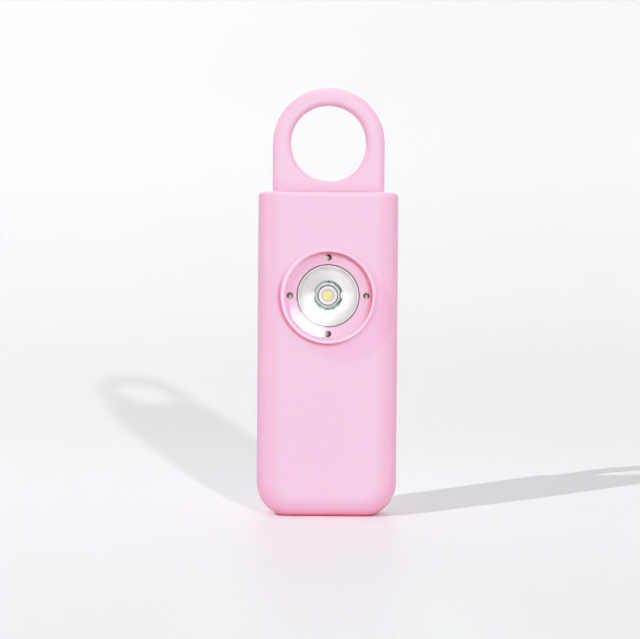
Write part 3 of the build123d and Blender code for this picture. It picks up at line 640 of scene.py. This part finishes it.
def arched_ring():
    """The pull ring: an arch with a round hole, and the boss under it with the pin's bore."""
    hairline, near = 0.03 * MM, 0.01 * MM
    low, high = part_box("pull_ring")
    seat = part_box("front_shell")[1].z + hairline
    thick, radius, hole_radius = high.y - low.y, (high.x - low.x) / 2, 9.0 * MM
    middle = Vector(((low.x + high.x) / 2, (low.y + high.y) / 2, high.z - radius))
    arch = primitive(
        "cylinder", "arched_ring", vertices=160, radius=radius, depth=thick,
        location=middle, rotation=FRONT_TO_BACK,
    )
    choose(arch, "FACE", lambda centre, normal: True)
    bpy.ops.mesh.bisect(plane_co=middle, plane_no=(0, 0, 1), use_fill=True, clear_inner=True)
    leave_edit()
    choose(arch, "FACE", lambda centre, normal: centre.z < middle.z + near)
    bpy.ops.mesh.extrude_region_move(
        TRANSFORM_OT_translate={"value": (0, 0, seat - middle.z)}
    )
    bpy.ops.mesh.select_all(action="SELECT")
    bpy.ops.mesh.normals_make_consistent(inside=False)
    bpy.ops.mesh.dissolve_limited(angle_limit=math.radians(0.2))
    leave_edit()

    boss_wide, boss_deep, boss_rounding = 20 * MM, 4.6 * MM, 2.28 * MM
    boss_top = seat + 0.4 * MM
    boss = sized(
        primitive("cube", "boss", size=1),
        (boss_wide, boss_deep, boss_top - low.z), (middle.x, middle.y, (boss_top + low.z) / 2),
    )
    choose(boss, "EDGE", lambda centre, run: abs(run.z) > 0.5 * run.length)
    bpy.ops.mesh.bevel(offset=boss_rounding, segments=12)
    leave_edit()
    cutters = [boss]
    bore_radius, bore_long, bore_middle = 1.29 * MM, 7 * MM, Vector((middle.x, middle.y, low.z))
    for name, size, sides, way, spot, long in (
        ("hole", hole_radius, 160, FRONT_TO_BACK, middle, 2 * thick),
        ("bore", bore_radius, 48, (0, 0, 0), bore_middle, bore_long),
    ):
        cutters.append(primitive(
            "cylinder", name, vertices=sides, radius=size, depth=long, location=spot, rotation=way,
        ))
    for cutter, way in zip(cutters, ("UNION", "DIFFERENCE", "DIFFERENCE")):
        apply_modifier(arch, "BOOLEAN", operation=way, object=cutter, solver="EXACT")
        bpy.data.objects.remove(cutter)

    def on_front_or_back(centre):
        return abs(abs(centre.y - middle.y) - thick / 2) < near

    def outline(centre, run):
        reach = math.hypot(centre.x - middle.x, max(centre.z - middle.z, 0))
        return on_front_or_back(centre) and abs(reach - radius) < 2 * near

    def round_hole(centre, run):
        reach = (centre - middle).xz.length
        return on_front_or_back(centre) and abs(reach - hole_radius) < 2 * near

    for edges, width in ((outline, 1.8), (round_hole, 1.3)):
        choose(arch, "EDGE", edges)
        bpy.ops.mesh.bevel(offset=width * MM, segments=10)
        leave_edit()
    smooth(arch)
    return finished(arch, "pink_ring", "pull_ring", ["pull_ring"])


def polished_cover():
    """The clear cover: rounded rim, four drilled sound holes with broken edges."""
    # Clear of the floor behind it by a hair
    front, back = cover_low.y, cover_high.y - 0.02 * MM
    radius = (cover_high.x - cover_low.x) / 2
    halfway = (front + back) / 2
    disc = primitive(
        "cylinder", "clear_cover_disc", vertices=160, radius=radius, depth=back - front,
        location=(lamp_x, halfway, lamp_z), rotation=FRONT_TO_BACK,
    )
    for x, z in ((1, 0), (-1, 0), (0, 1), (0, -1)):
        spot = (lamp_x + x * SOUND_RADIUS, halfway, lamp_z + z * SOUND_RADIUS)
        drill = primitive(
            "cylinder", "drill", vertices=48, radius=HOLE_RADIUS, depth=3 * (back - front),
            location=spot, rotation=FRONT_TO_BACK,
        )
        apply_modifier(disc, "BOOLEAN", operation="DIFFERENCE", object=drill, solver="EXACT")
        bpy.data.objects.remove(drill)

    def on_edge(depth, at_rim):
        """A test for the edges at this depth that lie on the rim, or round a sound hole."""
        def test(centre, run):
            out = math.hypot(centre.x - lamp_x, centre.z - lamp_z)
            across, along = abs(centre.x - lamp_x), abs(centre.z - lamp_z)
            nearest = min(
                math.hypot(across - SOUND_RADIUS, along), math.hypot(across, along - SOUND_RADIUS)
            )
            level = abs(centre.y - depth) < 0.01 * MM and run.length < 0.6 * MM
            if at_rim:
                return level and out > radius - 0.05 * MM
            return level and abs(nearest - HOLE_RADIUS) < 0.03 * MM
        return test

    for depth, at_rim, width in (
        (front, True, 0.22), (back, True, 0.08), (front, False, 0.10), (back, False, 0.05),
    ):
        choose(disc, "EDGE", on_edge(depth, at_rim))
        bpy.ops.mesh.bevel(offset=width * MM, segments=3, profile=0.6)
        leave_edit()
    smooth(disc)
    return finished(disc, "clear_cover", replaced=["lens_cover"])


def lamp_housing():
    """The lamp's eight-sided white base, with a grooved collar round the dome."""
    low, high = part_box("led_package")
    # From the middle to a flat side, how thick it is, and how far it sits above the axis
    plate_reach, plate_thick, plate_lift = 2.82 * MM, 0.75 * MM, 0.12 * MM
    plate = primitive(
        "cylinder", "lamp_housing", vertices=8, radius=plate_reach / math.cos(math.pi / 8),
        depth=plate_thick, location=(lamp_x, high.y - plate_thick / 2, lamp_z + plate_lift),
        rotation=(math.radians(90), math.radians(22.5), 0),
    )
    choose(plate, "FACE", lambda middle, normal: normal.y < -0.9)
    bpy.ops.mesh.bevel(offset=0.14 * MM, segments=2)
    leave_edit()

    # The collar reaches a little into the plate and stands a hair before the solid
    front, top = high.y - plate_thick, low.y - 0.02 * MM
    collar_radius, overlap = 2.74 * MM, 0.1 * MM
    collar = primitive(
        "cylinder", "collar", vertices=96, radius=collar_radius, depth=front - top + overlap,
        location=(lamp_x, (front + overlap + top) / 2, lamp_z), rotation=FRONT_TO_BACK,
    )
    groove_deep = 0.12 * MM
    choose(collar, "FACE", lambda middle, normal: normal.y < -0.9)
    bpy.ops.mesh.inset(thickness=0.08 * MM)
    bpy.ops.mesh.inset(thickness=0.24 * MM)
    bpy.ops.transform.translate(value=(0, groove_deep, 0))
    bpy.ops.mesh.inset(thickness=0.02 * MM)
    bpy.ops.transform.translate(value=(0, -groove_deep, 0))
    leave_edit()
    apply_modifier(plate, "BOOLEAN", operation="UNION", object=collar, solver="EXACT")
    bpy.data.objects.remove(collar)
    smooth(plate)
    return finished(plate, "led_body", replaced=["led_package"])


def yellow_chip():
    """The rounded square of yellow phosphor, which stands a hair further into the dome."""
    low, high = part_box("led_phosphor")
    proud = 0.05 * MM
    chip = sized(
        primitive("cube", "yellow_chip", size=1),
        (high.x - low.x, high.y - low.y + proud, high.z - low.z),
        ((low.x + high.x) / 2, (low.y + high.y) / 2 - proud / 2, (low.z + high.z) / 2),
    )
    choose(chip, "EDGE", lambda middle, run: abs(run.y) > 0.5 * run.length)
    bpy.ops.mesh.bevel(offset=0.24 * MM, segments=6)
    leave_edit()
    choose(chip, "FACE", lambda middle, normal: normal.y < -0.9)
    bpy.ops.mesh.bevel(offset=0.03 * MM, segments=2)
    leave_edit()
    smooth(chip)
    return finished(chip, "led_yellow", replaced=["led_phosphor"])


def gauze_ring():
    """A ring of fine wire gauze behind the floor, under the sound holes."""
    floor_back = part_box("reflector")[0].y + 2.1 * MM
    inner, outer, thick = 8.05 * MM, 10.1 * MM, 0.14 * MM
    gauze = sized(
        primitive(
            "plane", "gauze_ring", size=1, rotation=(math.radians(90), 0, math.radians(90))
        ),
        (1, thick, outer - inner),
        (lamp_x, floor_back + thick * 0.6, lamp_z + (inner + outer) / 2),
    )
    choose(gauze, "EDGE", lambda middle, run: True)
    bpy.ops.mesh.bevel(offset=0.04 * MM, segments=2, affect="VERTICES")
    leave_edit()
    turned(gauze, steps=128)
    smooth(gauze)
    return finished(gauze, "gauze")


arched_ring()
cover = polished_cover()
lamp_housing()
yellow_chip()
gauze_ring()


# ---- Studio ----


def paper_sweep():
    """A wide sheet of paper: flat under the alarm, then rising gently behind it."""
    front, rise_from, far, wide = -4.0, 0.02, 5.0, 10.0
    bend_radius, steps = 3.5, 60

    def risen(y):
        return (y - rise_from) ** 2 / (2 * bend_radius)

    paper = sized(
        primitive("plane", "paper_sweep", size=1),
        (wide, rise_from - front, 1), (0, (rise_from + front) / 2, 0),
    )
    choose(paper, "EDGE", lambda centre, run: centre.y > rise_from - MM)
    rows = [rise_from + (far - rise_from) * (k / steps) ** 1.5 for k in range(steps + 1)]
    for here, there in zip(rows, rows[1:]):
        move = (0, there - here, risen(there) - risen(here))
        bpy.ops.mesh.extrude_region_move(TRANSFORM_OT_translate={"value": move})
    leave_edit()
    bpy.ops.object.shade_smooth()
    return paper


def seen_straight(wire):
    """1 for the rays that show a backdrop: the camera's, and those off gloss or through glass."""
    camera, gloss, glass, bounced = light_path(
        wire, "Is Camera Ray", "Is Glossy Ray", "Is Transmission Ray", "Diffuse Depth"
    )
    shows = camera.maths("MAXIMUM", gloss).maths("MAXIMUM", glass)
    return shows * bounced.maths("LESS_THAN", 0.5)


def paper_white():
    """Matt pale paper with a faint fibre; it shows paler than the light that it throws back."""
    material, wire = new_finish("paper_white", {"Specular IOR Level": 0.5})
    at = place(wire)
    fibre = noise(at, 900, 3)
    cloud = noise(at, 3, 2)
    tone = mixed(cloud * 0.5 + fibre * 0.5, rgb(0.875, 0.87, 0.89), rgb(0.90, 0.895, 0.915))
    # Painted light: how bright each place shows, by its height up the sweep, to the side, and ahead
    # of the alarm, where it is also made less pink
    x, y, height = part_of(at)
    ahead = between(0 - y, 0.04, 0.24) * (1 - between(abs(x), 0.012, 0.045))
    dip = band(height, (0.0, 0.006, 0.012, 0.036))
    painted_light = 0.962 - between(height, 0.0, 0.03) * 0.037 - dip * 0.058
    painted_light = painted_light + between(height, 0.03, 0.12) * 0.058 - between(height, 0.08, 0.14) * 0.030
    painted_light = painted_light - between(x, -0.12, 0.12) * 0.045 + ahead * 0.055
    graded = tone.node(
        "ShaderNodeVectorMath", {"operation": "SCALE"}, {0: tone, "Scale": painted_light * 1.36}
    )
    graded = mixed(ahead, graded, rgb(0.966, 1.0, 0.982), "MULTIPLY")
    shown = mixed(seen_straight(wire), tone, graded)
    return show(material, base_color=shown, roughness=0.36 + fibre * 0.1)


sheet = paper_sweep()
sheet.data.materials.append(paper_white())


def aimed(from_point, at_point, roll=0.0):
    """A matrix at one point whose -Z looks at another, turned about its own axis."""
    turn = (Vector(at_point) - Vector(from_point)).to_track_quat("-Z", "Y")
    turn = turn.to_matrix().to_4x4()
    return Matrix.Translation(from_point) @ turn @ Matrix.Rotation(roll, 4, "Z")


def link_light(light, piece, state):
    """Lets a lamp light this piece alone (INCLUDE), or all but it (EXCLUDE); shadows stay."""
    chosen = bpy.data.collections.new(light.name + "_lit")
    chosen.objects.link(piece)
    light.light_linking.receiver_collection = chosen
    chosen.collection_objects[0].light_linking.link_state = state


def lamp(name, kind, matrix, power, **values):
    data = bpy.data.lights.new(name, kind)
    data.energy = power
    for key, value in values.items():
        setattr(data, key, value)
    made = bpy.data.objects.new(name, data)
    bpy.context.scene.collection.objects.link(made)
    made.matrix_world = matrix
    return made


def sun_matrix(travel, fall):
    """Light that goes so many degrees to the right of straight back, and falls so steeply."""
    side, drop = math.radians(travel), math.radians(fall)
    level = math.cos(drop)
    way = Vector((math.sin(side) * level, math.cos(side) * level, -math.sin(drop)))
    return aimed(-way, (0, 0, 0))


# The low sun throws the long left shadow, the side sun the right one; the paper gets more of each
low_sun, low_spread = sun_matrix(-10.4, 14.6), math.radians(1.6)
side_sun, side_spread = sun_matrix(38, 32), math.radians(0.7)
lamp("low_key", "SUN", low_sun, 0.86, angle=low_spread)
link_light(lamp("paper_low", "SUN", low_sun, 0.62, angle=low_spread), sheet, "INCLUDE")
lamp("side_key", "SUN", side_sun, 0.28, angle=side_spread)
link_light(lamp("paper_key", "SUN", side_sun, 1.23, angle=side_spread), sheet, "INCLUDE")

# Soft boxes for the alarm alone; the one straight ahead isn't mirrored in the cover
straight_ahead = (0, -1.2, 0.08)
for spot, power in (
    ((-0.87, -0.34, 0.25), 3.6),
    ((0.87, -0.34, 0.25), 3.1),
    ((0, -0.3, 1.0), 1.8),
    (straight_ahead, 2.4),
    ((0, 1.0, 0.45), 6.0),
):
    box = lamp("soft_fill", "AREA", aimed(spot, (0, 0, 0.05)), power, shape="SQUARE", size=0.8)
    box.visible_glossy = spot != straight_ahead
    link_light(box, sheet, "EXCLUDE")
over_alarm = aimed((0, 0.1, 1.3), (0, 0.02, 0))
lamp("top_softbox", "AREA", over_alarm, 3.6, shape="SQUARE", size=1.0)

# A small white card that the clear cover mirrors over its lower left quarter
card_place = aimed((0.0015, -0.5, 0.0260), (0, -0.0083, 0.0468), math.radians(-31))
card = lamp(
    "reflection_card", "AREA", card_place, 0.0060, shape="RECTANGLE", size=0.0160, size_y=0.0074,
)
link_light(card, cover, "INCLUDE")

world = bpy.data.worlds.new("studio")
bpy.context.scene.world = world
world.use_nodes = True
sky = Wire(world.node_tree)
soft = sky.node("ShaderNodeBackground", None, {"Color": rgb(0.97, 0.98, 1.0), "Strength": 0.13})
white = sky.node("ShaderNodeBackground", None, {"Color": rgb(0.95, 0.95, 0.96), "Strength": 0.95})
shown_sky = sky.node("ShaderNodeMixShader", None, {0: seen_straight(sky), 1: soft, 2: white})
world.node_tree.links.new(
    shown_sky.socket, world.node_tree.nodes["World Output"].inputs["Surface"]
)


# ---- Camera ----

distance, eye_height = 0.8, 0.0773
eye_turn = math.radians(-1.2)
aim_turn = math.radians(-1.2 + 0.125)
tilt_down = math.radians(2.195)
picture_roll = math.radians(0.45)

eye = bpy.data.cameras.new("studio_camera")
eye.sensor_width = 36.0
eye.lens = 188.36
camera = bpy.data.objects.new("studio_camera", eye)
bpy.context.scene.collection.objects.link(camera)
eye_place = (distance * math.sin(eye_turn), -distance * math.cos(eye_turn), eye_height)
camera.matrix_world = (
    Matrix.Translation(eye_place)
    @ Matrix.Rotation(aim_turn, 4, "Z")
    @ Matrix.Rotation(math.radians(90) - tilt_down, 4, "X")
    @ Matrix.Rotation(picture_roll, 4, "Z")
)
bpy.context.scene.camera = camera
bpy.context.scene.view_settings.view_transform = "Standard"
